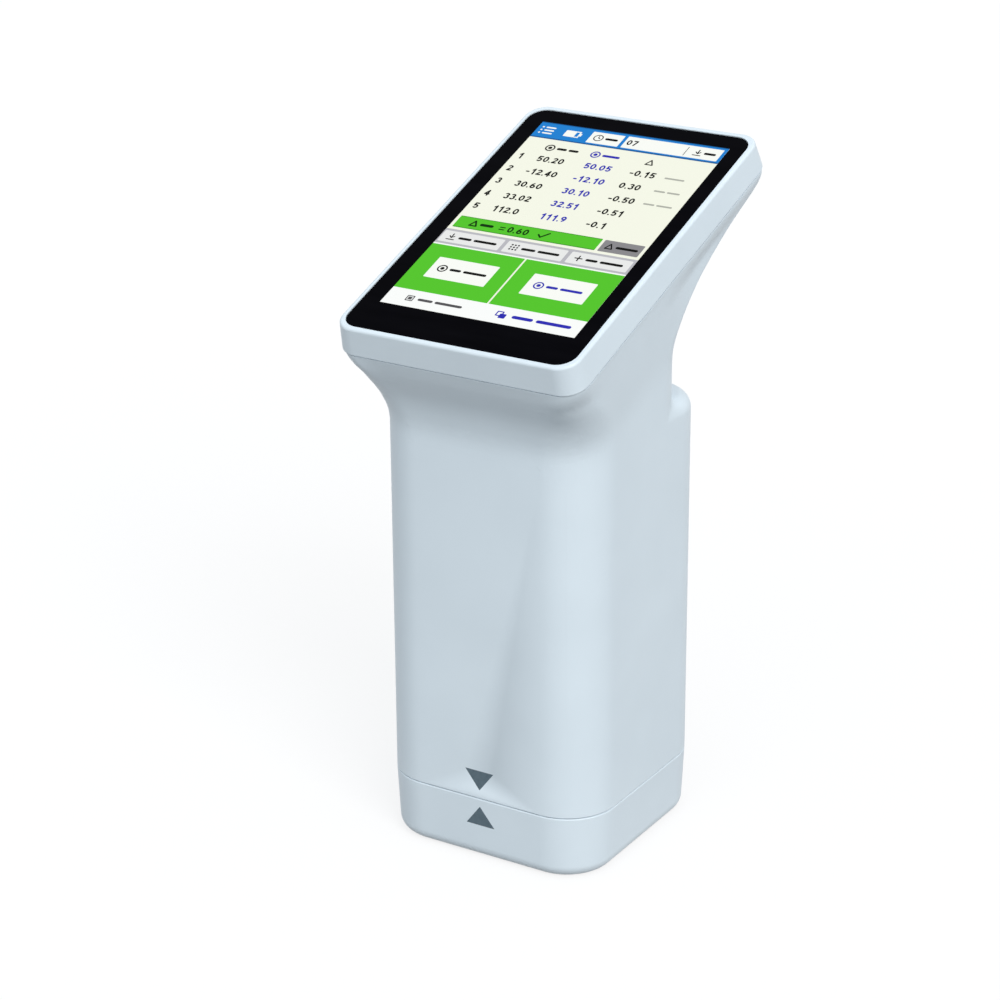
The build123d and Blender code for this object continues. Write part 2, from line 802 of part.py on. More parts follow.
def all_parts():
    parts = {
        "cap_shell": make_cap_shell(),
        "cap_mark": cap_mark_form(),
        "tile_cushion": disc(tile_radius, cap_floor, tile_low),
        "white_tile": make_white_tile(),
        "tile_holder": make_tile_holder(),
        "tile_screws": make_tile_screws(),
        "cap_magnets": make_cap_magnets(),
        "body_shell": make_body_shell(),
        "body_mark": body_mark_form(),
        "base_plate": make_base_plate(),
        "base_magnets": make_base_magnets(),
        "base_screws": make_base_screws(),
        "aperture_ring": make_aperture_ring(),
        "sphere_lower": make_sphere_lower(),
        "sphere_upper": make_sphere_upper(),
        "sphere_screws": make_sphere_screws(),
        "viewing_tube": make_viewing_tube(),
        "viewing_lens": make_viewing_lens(),
        "sensor_board": make_sensor_board(),
        "sensor_chip": make_sensor_chip(),
        "sensor_ribbon": make_sensor_ribbon(),
        "lamp_board_front": make_lamp_board(-1),
        "lamp_board_rear": make_lamp_board(1),
        "lamp_leds": make_lamp_leds(),
        "inner_frame": make_inner_frame(),
        "battery_cell": make_battery_cell(),
        "battery_lead": make_battery_lead(),
        "charge_board": make_charge_board(),
        "charge_board_screws": make_charge_board_screws(),
        "charge_socket": make_charge_socket(),
        "charge_tongue": make_charge_tongue(),
        "button_board": make_button_board(),
        "button_switch": make_button_switch(),
        "power_key": make_power_key(),
        "head_frame": make_head_frame(),
        "cover_glass": make_cover_glass(),
        "glass_tape": make_glass_tape(),
        "display_panel": make_display_panel(),
        "display_bracket": make_display_bracket(),
        "bracket_screws": make_bracket_screws(),
        "display_ribbon": make_display_ribbon(),
        "main_board": make_main_board(),
        "board_parts": make_board_parts(),
        "board_screws": make_board_screws(),
        "buzzer": make_buzzer(),
    }
    return parts


os.makedirs("parts", exist_ok=True)
for node, part in all_parts().items():
    export_step(part, f"parts/{node}.step")
    print(node, round(part.volume, 1))
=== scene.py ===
import math
import bpy
import bmesh
from mathutils import Matrix, Vector


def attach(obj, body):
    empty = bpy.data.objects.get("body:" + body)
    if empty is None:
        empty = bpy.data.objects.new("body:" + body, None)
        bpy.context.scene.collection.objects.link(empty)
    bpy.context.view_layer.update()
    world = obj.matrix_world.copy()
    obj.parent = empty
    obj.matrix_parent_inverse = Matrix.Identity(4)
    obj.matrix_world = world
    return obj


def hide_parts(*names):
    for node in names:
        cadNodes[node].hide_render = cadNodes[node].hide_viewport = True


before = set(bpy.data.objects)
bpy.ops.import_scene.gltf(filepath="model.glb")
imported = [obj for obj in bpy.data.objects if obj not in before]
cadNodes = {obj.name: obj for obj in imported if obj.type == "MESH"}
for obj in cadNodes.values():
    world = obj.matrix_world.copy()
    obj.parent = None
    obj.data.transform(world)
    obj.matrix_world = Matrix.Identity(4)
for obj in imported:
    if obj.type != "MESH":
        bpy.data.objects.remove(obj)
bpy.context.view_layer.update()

# A portable colorimeter that stands on its calibration cap. Metres, +Z up, the front towards -Y.
mm = 0.001
scene = bpy.context.scene
print("frame loaded,", len(cadNodes), "pieces")


# Camera, at the photo's angle: its place in millimetres, its angles in degrees

cameraSetup = {
    "place": (312.838, -517.567, 317.792),
    "azimuth": 30.949,
    "elevation": 21.328,
    "focalPixels": 2861.467,
    "centrePixel": (551, 491),
    "imagePixels": 1000,
    "sensor": 36,
    "clip": (0.01, 20),
}


def makeCamera(setup):
    data = bpy.data.cameras.new("camera")
    camera = bpy.data.objects.new("camera", data)
    scene.collection.objects.link(camera)
    camera.location = Vector(setup["place"]) * mm
    camera.rotation_euler = (math.radians(90 - setup["elevation"]), 0, math.radians(setup["azimuth"]))
    data.sensor_width = setup["sensor"]
    data.lens = setup["focalPixels"] / setup["imagePixels"] * setup["sensor"]
    data.shift_x = 0.5 - setup["centrePixel"][0] / setup["imagePixels"]
    data.shift_y = setup["centrePixel"][1] / setup["imagePixels"] - 0.5
    data.clip_start, data.clip_end = setup["clip"]
    scene.camera = camera


makeCamera(cameraSetup)
scene.view_settings.view_transform = "Standard"
print("camera placed")


# Helpers for colours and shader nodes

def linear(channel):
    share = channel / 255
    return share / 12.92 if channel <= 10 else ((share + 0.055) / 1.055) ** 2.4


def paint(red, green, blue):
    # a colour as seen on a screen, 0 to 255, turned into linear light
    return (linear(red), linear(green), linear(blue), 1.0)


def dimmed(colour, share):
    return (*(channel * share for channel in colour[:3]), 1)


def startMaterial(name):
    material = bpy.data.materials.new(name)
    material.use_nodes = True
    tree = material.node_tree
    return material, tree, tree.nodes["Principled BSDF"]


def addNode(tree, kind, inputs, **settings):
    node = tree.nodes.new(kind)
    for key, value in settings.items():
        setattr(node, key, value)
    for socket, value in inputs.items():
        if isinstance(value, bpy.types.NodeSocket):
            tree.links.new(value, node.inputs[socket])
        else:
            node.inputs[socket].default_value = value
    return node


def objectPlace(tree, scale=(1, 1, 1), turn=(0, 0, 0)):
    coordinates = addNode(tree, "ShaderNodeTexCoord", {})
    mapping = addNode(tree, "ShaderNodeMapping", {
        "Vector": coordinates.outputs["Object"],
        "Scale": scale,
        "Rotation": turn,
    })
    return mapping.outputs["Vector"]


def grain(tree, place, scale, detail=3.0, roughness=0.55):
    noise = addNode(tree, "ShaderNodeTexNoise", {
        "Vector": place,
        "Scale": scale,
        "Detail": detail,
        "Roughness": roughness,
    })
    return noise.outputs["Fac"]


def spread(tree, value, low, high, fromLow=0.3, fromHigh=0.7):
    ranged = addNode(tree, "ShaderNodeMapRange", {
        "Value": value,
        "From Min": fromLow,
        "From Max": fromHigh,
        "To Min": low,
        "To Max": high,
    })
    return ranged.outputs["Result"]


def stripes(tree, place, scale, way):
    wave = addNode(tree, "ShaderNodeTexWave", {"Vector": place, "Scale": scale}, bands_direction=way)
    return wave.outputs["Fac"]


def mixColours(tree, share, first, second):
    mix = addNode(tree, "ShaderNodeMix", {}, data_type="RGBA")
    tree.links.new(share, mix.inputs[0])
    for socket, value in ((mix.inputs[6], first), (mix.inputs[7], second)):
        if isinstance(value, bpy.types.NodeSocket):
            tree.links.new(value, socket)
        else:
            socket.default_value = value
    return mix.outputs[2]


def bump(tree, height, distance, under=None):
    inputs = {"Height": height, "Distance": distance, "Strength": 1.0}
    if under:
        inputs["Normal"] = under
    return addNode(tree, "ShaderNodeBump", inputs).outputs["Normal"]


# Materials

plasticIndex = 1.49
coatRoughness = 0.08


def shadedPlastic(name, look):
    # moulded plastic: a soft cloudiness, a spark-eroded grain and slightly uneven gloss
    material, tree, shader = startMaterial(name)
    place = objectPlace(tree)
    cloud = grain(tree, place, look["cloudScale"], detail=2.0)
    colour = mixColours(tree, spread(tree, cloud, 0, 1), look["dark"], look["light"])
    tree.links.new(colour, shader.inputs["Base Color"])
    fine = grain(tree, place, look["grainScale"], detail=2.0, roughness=0.6)
    tree.links.new(spread(tree, fine, *look["gloss"]), shader.inputs["Roughness"])
    broad = bump(tree, grain(tree, place, look["waveScale"], detail=1.0), look["waveDepth"])
    tree.links.new(bump(tree, fine, look["grainDepth"], broad), shader.inputs["Normal"])
    shader.inputs["IOR"].default_value = plasticIndex
    shader.inputs["Coat Weight"].default_value = look.get("coat", 0.0)
    shader.inputs["Coat Roughness"].default_value = coatRoughness
    shader.inputs["Metallic"].default_value = look.get("metal", 0.0)
    return material


def streakedMetal(name, look):
    # bare metal: a fine grain, which the steel has drawn out one way, and a faint stain
    material, tree, shader = startMaterial(name)
    streaks = grain(tree, objectPlace(tree, look["streaks"]), 1.0, detail=4.0)
    stain = grain(tree, objectPlace(tree), look["stainScale"])
    colour = mixColours(tree, spread(tree, stain, 0, 1), look["dark"], look["light"])
    tree.links.new(colour, shader.inputs["Base Color"])
    tree.links.new(spread(tree, streaks, *look["gloss"]), shader.inputs["Roughness"])
    tree.links.new(bump(tree, streaks, look["depth"]), shader.inputs["Normal"])
    shader.inputs["Metallic"].default_value = 1.0
    return material


def circuitBoard(name, look):
    # solder mask over copper tracks, with bare round pads
    material, tree, shader = startMaterial(name)
    place = objectPlace(tree)
    tracks = addNode(tree, "ShaderNodeTexBrick", {
        "Vector": place,
        "Color1": look["mask"],
        "Color2": look["maskToo"],
        "Mortar": look["track"],
        "Scale": look["trackScale"],
        "Mortar Size": look["trackWidth"],
        "Mortar Smooth": look["trackSoftness"],
    }, offset=look["trackOffset"])
    pads = addNode(tree, "ShaderNodeTexVoronoi", {
        "Vector": place,
        "Scale": look["padScale"],
        "Randomness": look["padScatter"],
    })
    onPad = spread(tree, pads.outputs["Distance"], 1.0, 0.0, *look["padEdge"])
    colour = mixColours(tree, onPad, tracks.outputs["Color"], look["pad"])
    tree.links.new(colour, shader.inputs["Base Color"])
    tree.links.new(onPad, shader.inputs["Metallic"])
    sheen = spread(tree, grain(tree, place, look["glossScale"]), *look["gloss"])
    tree.links.new(sheen, shader.inputs["Roughness"])
    tree.links.new(bump(tree, tracks.outputs["Fac"], look["trackHeight"]), shader.inputs["Normal"])
    return material


def bandedFilm(name, look):
    # a flat flexible cable: conductors show as paler bands through the film
    material, tree, shader = startMaterial(name)
    place = objectPlace(tree)
    bands = stripes(tree, place, look["bandScale"], "X")
    colour = mixColours(tree, spread(tree, bands, 0, 1), look["film"], look["conductor"])
    tree.links.new(colour, shader.inputs["Base Color"])
    tree.links.new(bump(tree, bands, look["bandHeight"]), shader.inputs["Normal"])
    sheen = spread(tree, grain(tree, place, look["glossScale"]), *look["gloss"])
    tree.links.new(sheen, shader.inputs["Roughness"])
    return material


def clearGlass(name, look):
    material, tree, shader = startMaterial(name)
    place = objectPlace(tree)
    sheen = spread(tree, grain(tree, place, look["glossScale"]), *look["gloss"])
    tree.links.new(sheen, shader.inputs["Roughness"])
    cloud = grain(tree, place, look["tintScale"])
    tint = mixColours(tree, spread(tree, cloud, 0, 1), look["dark"], look["light"])
    tree.links.new(tint, shader.inputs["Base Color"])
    shader.inputs["Transmission Weight"].default_value = 1.0
    shader.inputs["IOR"].default_value = look["index"]
    return material


def blackGlass(name, look):
    # glass with a black back and a non-reflecting coat, with the faintest trace of wiping
    material, tree, shader = startMaterial(name)
    place = objectPlace(tree, look["wipe"])
    smear = grain(tree, place, 1.0)
    tree.links.new(spread(tree, smear, *look["gloss"]), shader.inputs["Roughness"])
    colour = mixColours(tree, spread(tree, smear, 0, 1), look["dark"], look["light"])
    tree.links.new(colour, shader.inputs["Base Color"])
    shader.inputs["IOR"].default_value = look["index"]
    shader.inputs["Specular IOR Level"].default_value = look["specular"]
    return material


def litPixels(name, colour):
    # one colour of the screen's picture, made of pixels that follow the screen's own rows
    material, tree, shader = startMaterial(name)
    place = objectPlace(tree, turn=(-screen["lean"], 0, 0))
    across, along = (stripes(tree, place, screen["pixelScale"], way) for way in ("X", "Y"))
    cells = addNode(tree, "ShaderNodeMath", {0: across, 1: along}, operation="MULTIPLY")
    shade = spread(tree, cells.outputs[0], 0, 1, 0.0, 1.0)
    picture = mixColours(tree, shade, dimmed(colour, screen["pixelDip"]), colour)
    tree.links.new(picture, shader.inputs["Emission Color"])
    shader.inputs["Emission Strength"].default_value = screen["glow"]
    dull = dimmed(colour, screen["matte"])
    surface = mixColours(tree, shade, dimmed(dull, screen["pixelDip"]), dull)
    tree.links.new(surface, shader.inputs["Base Color"])
    shader.inputs["Roughness"].default_value = screen["roughness"]
    shader.inputs["Specular IOR Level"].default_value = screen["specular"]
    return material


plasticLooks = {
    "housing": {
        "dark": paint(206, 219, 228), "light": paint(210, 223, 232), "gloss": (0.36, 0.48),
        "cloudScale": 45.0, "grainScale": 3200.0, "grainDepth": 0.006 * mm,
        "waveScale": 60.0, "waveDepth": 0.012 * mm,
    },
    "mark": {
        "dark": paint(72, 90, 101), "light": paint(82, 100, 111), "gloss": (0.5, 0.68),
        "cloudScale": 700.0, "grainScale": 5200.0, "grainDepth": 0.008 * mm,
        "waveScale": 300.0, "waveDepth": 0.004 * mm,
    },
    "key": {
        "dark": paint(104, 118, 128), "light": paint(114, 128, 138), "gloss": (0.42, 0.56),
        "cloudScale": 90.0, "grainScale": 3600.0, "grainDepth": 0.008 * mm,
        "waveScale": 150.0, "waveDepth": 0.01 * mm,
    },
    "innerPlastic": {
        "dark": paint(30, 31, 33), "light": paint(38, 39, 42), "gloss": (0.45, 0.62),
        "cloudScale": 80.0, "grainScale": 2600.0, "grainDepth": 0.012 * mm,
        "waveScale": 120.0, "waveDepth": 0.02 * mm,
    },
    "foam": {
        "dark": paint(34, 34, 36), "light": paint(60, 60, 62), "gloss": (0.85, 0.98),
        "cloudScale": 2200.0, "grainScale": 3000.0, "grainDepth": 0.08 * mm,
        "waveScale": 900.0, "waveDepth": 0.05 * mm,
    },
    "tile": {
        "dark": paint(240, 240, 236), "light": paint(247, 247, 244), "gloss": (0.1, 0.18),
        "cloudScale": 160.0, "grainScale": 1500.0, "grainDepth": 0.002 * mm,
        "waveScale": 90.0, "waveDepth": 0.01 * mm, "coat": 0.6,
    },
    "blackMetal": {
        "dark": paint(24, 24, 26), "light": paint(34, 34, 37), "gloss": (0.34, 0.46),
        "cloudScale": 300.0, "grainScale": 4200.0, "grainDepth": 0.006 * mm,
        "waveScale": 200.0, "waveDepth": 0.004 * mm, "metal": 0.5,
    },
    "sphere": {
        "dark": paint(240, 240, 238), "light": paint(250, 250, 248), "gloss": (0.9, 1.0),
        "cloudScale": 500.0, "grainScale": 4000.0, "grainDepth": 0.02 * mm,
        "waveScale": 260.0, "waveDepth": 0.02 * mm,
    },
    "panel": {
        "dark": paint(16, 16, 18), "light": paint(26, 26, 30), "gloss": (0.2, 0.32),
        "cloudScale": 120.0, "grainScale": 900.0, "grainDepth": 0.003 * mm,
        "waveScale": 90.0, "waveDepth": 0.01 * mm,
    },
    "chip": {
        "dark": paint(30, 30, 32), "light": paint(44, 44, 46), "gloss": (0.5, 0.7),
        "cloudScale": 900.0, "grainScale": 5200.0, "grainDepth": 0.01 * mm,
        "waveScale": 400.0, "waveDepth": 0.004 * mm,
    },
    "led": {
        "dark": paint(236, 220, 140), "light": paint(250, 240, 190), "gloss": (0.15, 0.25),
        "cloudScale": 800.0, "grainScale": 2000.0, "grainDepth": 0.004 * mm,
        "waveScale": 600.0, "waveDepth": 0.01 * mm,
    },
    "battery": {
        "dark": paint(74, 108, 146), "light": paint(92, 128, 166), "gloss": (0.22, 0.34),
        "cloudScale": 160.0, "grainScale": 800.0, "grainDepth": 0.01 * mm,
        "waveScale": 180.0, "waveDepth": 0.08 * mm,
    },
    "lead": {
        "dark": paint(150, 20, 22), "light": paint(178, 30, 30), "gloss": (0.4, 0.52),
        "cloudScale": 400.0, "grainScale": 2600.0, "grainDepth": 0.006 * mm,
        "waveScale": 500.0, "waveDepth": 0.01 * mm,
    },
    "tape": {
        "dark": paint(20, 20, 21), "light": paint(32, 32, 33), "gloss": (0.75, 0.9),
        "cloudScale": 1500.0, "grainScale": 3000.0, "grainDepth": 0.03 * mm,
        "waveScale": 700.0, "waveDepth": 0.01 * mm,
    },
}
otherLooks = {
    "steel": {
        "dark": paint(168, 168, 170), "light": paint(196, 196, 198), "streaks": (900, 900, 5200),
        "stainScale": 350.0, "gloss": (0.24, 0.38), "depth": 0.0006 * mm,
    },
    "magnet": {
        "dark": paint(190, 188, 182), "light": paint(212, 210, 204), "streaks": (1400, 1400, 1400),
        "stainScale": 350.0, "gloss": (0.22, 0.34), "depth": 0.0006 * mm,
    },
    "board": {
        "mask": paint(16, 88, 48), "maskToo": paint(14, 80, 44), "track": paint(34, 122, 72),
        "trackScale": 260.0, "trackWidth": 0.06, "trackSoftness": 0.1, "trackOffset": 0.37,
        "trackHeight": 0.03 * mm, "pad": paint(214, 186, 120), "padScale": 300.0, "padScatter": 0.8,
        "padEdge": (0.14, 0.17), "glossScale": 900.0, "gloss": (0.28, 0.4),
    },
    "ribbon": {
        "film": paint(176, 112, 40), "conductor": paint(206, 146, 66), "bandScale": 420.0,
        "bandHeight": 0.02 * mm, "glossScale": 700.0, "gloss": (0.25, 0.4),
    },
    "lens": {
        "dark": paint(232, 240, 250), "light": paint(246, 248, 252), "tintScale": 80.0,
        "glossScale": 300.0, "gloss": (0.0, 0.03), "index": 1.52,
    },
    "screenGlass": {
        "dark": paint(2, 2, 5), "light": paint(5, 5, 9), "wipe": (60, 260, 260), "gloss": (0.03, 0.08),
        "index": 1.1, "specular": 0.12,
    },
}

# The screen: a 3.5 inch panel behind the glass, a little up the slope from the glass's middle.
# Sizes are in millimetres, the lean is in radians, and a digit's sizes are shares of its height.
screen = {
    "lean": math.radians(20.2),
    "headCentre": (0, 4.1, 142.2),
    "glassFace": -0.1,
    "upSlope": 2.2,
    "width": 48.96,
    "height": 73.44,
    "pixelScale": 2052.0,
    "pixelDip": 0.93,
    "glow": 0.71,
    "matte": 0.26,
    "roughness": 0.12,
    "specular": 0.02,
    "sheet": 0.018,
    "stroke": 0.215,
    "digitWidth": 0.56,
    "digitGap": 0.27,
}

materials = {name: shadedPlastic(name, look) for name, look in plasticLooks.items()}
for name in ("steel", "magnet"):
    materials[name] = streakedMetal(name, otherLooks[name])
materials["board"] = circuitBoard("board", otherLooks["board"])
materials["ribbon"] = bandedFilm("ribbon", otherLooks["ribbon"])
materials["lens"] = clearGlass("lens", otherLooks["lens"])
materials["screenGlass"] = blackGlass("screenGlass", otherLooks["screenGlass"])

nodeFinish = {
    "housing": ["cap_shell", "body_shell", "head_frame"],
    "mark": ["cap_mark", "body_mark"],
    "key": ["power_key"],
    "innerPlastic": ["tile_holder", "base_plate", "inner_frame"],
    "foam": ["tile_cushion"],
    "tile": ["white_tile"],
    "blackMetal": ["aperture_ring", "viewing_tube"],
    "sphere": ["sphere_lower", "sphere_upper"],
    "panel": ["display_panel"],
    "chip": ["sensor_chip", "board_parts", "buzzer", "button_switch", "charge_tongue"],
    "led": ["lamp_leds"],
    "battery": ["battery_cell"],
    "lead": ["battery_lead"],
    "tape": ["glass_tape"],
    "steel": ["tile_screws", "base_screws", "sphere_screws", "charge_board_screws", "bracket_screws",
              "board_screws", "display_bracket", "charge_socket"],
    "magnet": ["cap_magnets", "base_magnets"],
    "board": ["sensor_board", "lamp_board_front", "lamp_board_rear", "charge_board", "button_board",
              "main_board"],
    "ribbon": ["sensor_ribbon", "display_ribbon"],
    "lens": ["viewing_lens"],
    "screenGlass": ["cover_glass"],
}
for finish, names in nodeFinish.items():
    for name in names:
        cadNodes[name].data.materials.clear()
        cadNodes[name].data.materials.append(materials[finish])
print("materials on", sum(len(names) for names in nodeFinish.values()), "pieces")


# The head's sides lean out steadily from the neck up to the seam, where the solid is straight and
# then flares, and its front is drawn in a little straight from the seam. Millimetres: depth lies
# under the glass, along lies up the slope from the glass's middle.

headShape = {
    "neckDepth": 30,
    "seamDepth": 6.87,
    "solidFlareDepth": 13.6,
    "flareWidth": 2.38,
    "bend": 0.3,
    "front": (-47, -34),
    "rear": (-10, 15),
    "fromX": (17, 26.5),
    "cuts": 22,
    "crossCuts": 14,
    "cutReach": 1.2,
    "frontDraw": 0.92,
    "frontDeepest": 14.5,
    "frontEnd": 32,
    "frontFade": (19, 28),
    "sharpAngle": 28,
}
mergeWithin = 1e-7


def ease(start, end, value):
    share = min(max((value - start) / (end - start), 0), 1)
    return share * share * (3 - 2 * share)


def sideShift(depth, setup):
    share = (setup["neckDepth"] - depth) / (setup["neckDepth"] - setup["seamDepth"])
    if not 0 < share < 1:
        return 0
    bend = setup["bend"]
    steady = share * share / (2 * bend) if share < bend else share - bend / 2
    solid = ease(setup["solidFlareDepth"], setup["seamDepth"], depth)
    return setup["flareWidth"] * (steady / (1 - bend / 2) - solid)


def frontShift(depth, setup):
    # the front turns in straight from the seam, and comes back slowly down the neck
    seam, deepest, end = setup["seamDepth"], setup["frontDeepest"], setup["frontEnd"]
    if not seam < depth < end:
        return 0
    if depth < deepest:
        return setup["frontDraw"] * math.sin((depth - seam) / (deepest - seam) * math.pi / 2)
    return setup["frontDraw"] * (1 - ease(deepest, end, depth))


def headPlace():
    # from axes in the middle of the glass, with Z out of it, to the object's own
    return Matrix.Translation(Vector(screen["headCentre"]) * mm) @ Matrix.Rotation(screen["lean"], 4, "X")


def shapeHousing(name, setup):
    node = cadNodes[name]
    shape = bmesh.new()
    shape.from_mesh(node.data)
    bmesh.ops.remove_doubles(shape, verts=shape.verts, dist=mergeWithin)
    toHead = headPlace().inverted()
    bmesh.ops.transform(shape, matrix=toHead, verts=shape.verts)
    span = setup["neckDepth"] - setup["seamDepth"]
    for index in range(setup["cuts"]):
        depth = setup["seamDepth"] + span * (index + 0.5) / setup["cuts"]
        whole = shape.verts[:] + shape.edges[:] + shape.faces[:]
        bmesh.ops.bisect_plane(shape, geom=whole, dist=mergeWithin,
                               plane_co=(0, 0, -depth * mm), plane_no=(0, 0, 1))
    foremost, rearmost = setup["front"][0], setup["rear"][1]
    lowest = -setup["neckDepth"] * setup["cutReach"] * mm
    for index in range(setup["crossCuts"]):
        along = foremost + (rearmost - foremost) * (index + 0.5) / setup["crossCuts"]
        near = [face for face in shape.faces if face.calc_center_median().z > lowest]
        edges = dict.fromkeys(edge for face in near for edge in face.edges)
        verts = dict.fromkeys(vert for face in near for vert in face.verts)
        bmesh.ops.bisect_plane(shape, geom=[*verts, *edges, *near], dist=mergeWithin,
                               plane_co=(0, along * mm, 0), plane_no=(0, 1, 0))
    shape.normal_update()
    outerFront = [vert for vert in shape.verts if vert.normal.y < 0 and vert.co.y < setup["rear"][0] * mm]
    for vert in outerFront:
        across, depth = abs(vert.co.x / mm), -vert.co.z / mm
        vert.co.y += frontShift(depth, setup) * (1 - ease(*setup["frontFade"], across)) * mm
    for vert in shape.verts:
        across, along, height = vert.co / mm
        between = ease(*setup["front"], along) * (1 - ease(*setup["rear"], along))
        weight = between * ease(*setup["fromX"], abs(across))
        vert.co.x += math.copysign(sideShift(-height, setup) * weight * mm, across)
    bmesh.ops.transform(shape, matrix=toHead.inverted(), verts=shape.verts)
    mesh = bpy.data.meshes.new("housingBody")
    shape.to_mesh(mesh)
    shape.free()
    mesh.shade_smooth()
    mesh.set_sharp_from_angle(angle=math.radians(setup["sharpAngle"]))
    mesh.materials.append(materials["housing"])
    piece = bpy.data.objects.new("housingBody", mesh)
    scene.collection.objects.link(piece)
    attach(piece, "instrument")
    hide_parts(name)
    print("housing shaped,", len(mesh.polygons), "faces")


shapeHousing("body_shell", headShape)


# The picture on the screen. Places are in millimetres across and down from the screen's top left
# corner. Each colour is one piece of thin plates on the glass, and each level lies on the last.
# An arc's step is in degrees, and the rounding of a line's end is a share of its width.

discSides = 20
hoopSides = 28
arcStep = 20
endRound = 0.49


def plateBox(left, top, right, bottom, corner=0.0):
    shape = bmesh.new()
    bmesh.ops.create_grid(shape, x_segments=1, y_segments=1, size=0.5)
    bmesh.ops.scale(shape, vec=(right - left, bottom - top, 1), verts=shape.verts)
    if corner:
        bmesh.ops.bevel(shape, geom=shape.verts[:], offset=corner, segments=4, profile=0.5,
                        affect="VERTICES", material=-1)
    bmesh.ops.translate(shape, vec=((left + right) / 2, -(top + bottom) / 2, 0), verts=shape.verts)
    return shape


def plateLine(startX, startY, endX, endY, width):
    length = math.hypot(endX - startX, endY - startY)
    reach = length / 2 + width / 2
    shape = plateBox(-reach, -width / 2, reach, width / 2, width * endRound)
    turn = Matrix.Rotation(math.atan2(startY - endY, endX - startX), 3, "Z")
    bmesh.ops.rotate(shape, matrix=turn, verts=shape.verts)
    bmesh.ops.translate(shape, vec=((startX + endX) / 2, -(startY + endY) / 2, 0), verts=shape.verts)
    return shape


def plateDisc(x, y, radius, sides=discSides):
    shape = bmesh.new()
    bmesh.ops.create_circle(shape, cap_ends=True, segments=sides, radius=radius)
    bmesh.ops.translate(shape, vec=(x, -y, 0), verts=shape.verts)
    return shape


def hollow(shape, width):
    # only a rim of this width is left
    middle = shape.faces[:]
    bmesh.ops.inset_region(shape, faces=middle, use_boundary=True, use_even_offset=True, thickness=width)
    bmesh.ops.delete(shape, geom=middle, context="FACES")
    return shape


def plateHoop(x, y, radius, width):
    return hollow(plateDisc(x, y, radius, hoopSides), width)


def plateFrame(left, top, right, bottom, width):
    return hollow(plateBox(left, top, right, bottom, 0.2), width)


def plateArc(x, y, radiusX, radiusY, start, sweep, width):
    # a short edge outwards from 1 to 2 is spun, and then each rim is drawn to its own size
    shape = bmesh.new()
    ends = [shape.verts.new((distance, 0, 0)) for distance in (1, 2)]
    edge = shape.edges.new(ends)
    bmesh.ops.spin(shape, geom=[edge, *ends], axis=(0, 0, 1), angle=math.radians(sweep),
                   steps=max(4, round(abs(sweep) / arcStep)), use_merge=abs(sweep) == 360)
    bmesh.ops.rotate(shape, matrix=Matrix.Rotation(math.radians(start), 3, "Z"), verts=shape.verts)
    inner = [vert for vert in shape.verts if vert.co.length < 1.5]
    outer = [vert for vert in shape.verts if vert.co.length > 1.5]
    bmesh.ops.scale(shape, vec=(radiusX - width / 2, radiusY - width / 2, 1), verts=inner)
    bmesh.ops.scale(shape, vec=((radiusX + width / 2) / 2, (radiusY + width / 2) / 2, 1), verts=outer)
    bmesh.ops.translate(shape, vec=(x, -y, 0), verts=shape.verts)
    return shape


plateMakers = {
    "box": plateBox,
    "line": plateLine,
    "disc": plateDisc,
    "hoop": plateHoop,
    "frame": plateFrame,
    "arc": plateArc,
}


def screenPlace():
    top = screen["upSlope"] + screen["height"] / 2
    corner = Matrix.Translation((-screen["width"] / 2, top, screen["glassFace"]))
    return headPlace() @ Matrix.Scale(mm, 4) @ corner


def makeScreenPiece(name, level, colour, shapes):
    whole = bmesh.new()
    for kind, *values in shapes:
        shape = plateMakers[kind](*values)
        raised = bmesh.ops.extrude_face_region(shape, geom=shape.faces[:])["geom"]
        top = [part for part in raised if isinstance(part, bmesh.types.BMVert)]
        bmesh.ops.translate(shape, vec=(0, 0, screen["sheet"]), verts=top)
        bmesh.ops.translate(shape, vec=(0, 0, level * screen["sheet"]), verts=shape.verts)
        bmesh.ops.recalc_face_normals(shape, faces=shape.faces)
        shapeMesh = bpy.data.meshes.new("shape")
        shape.to_mesh(shapeMesh)
        shape.free()
        whole.from_mesh(shapeMesh)
        bpy.data.meshes.remove(shapeMesh)
    bmesh.ops.transform(whole, matrix=screenPlace(), verts=whole.verts)
    mesh = bpy.data.meshes.new(name)
    whole.to_mesh(mesh)
    whole.free()
    mesh.materials.append(litPixels(name, colour))
    piece = bpy.data.objects.new(name, mesh)
    scene.collection.objects.link(piece)
    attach(piece, "instrument")


# Digits: strokes in a cell one high, from the foot of the digit, with angles anticlockwise

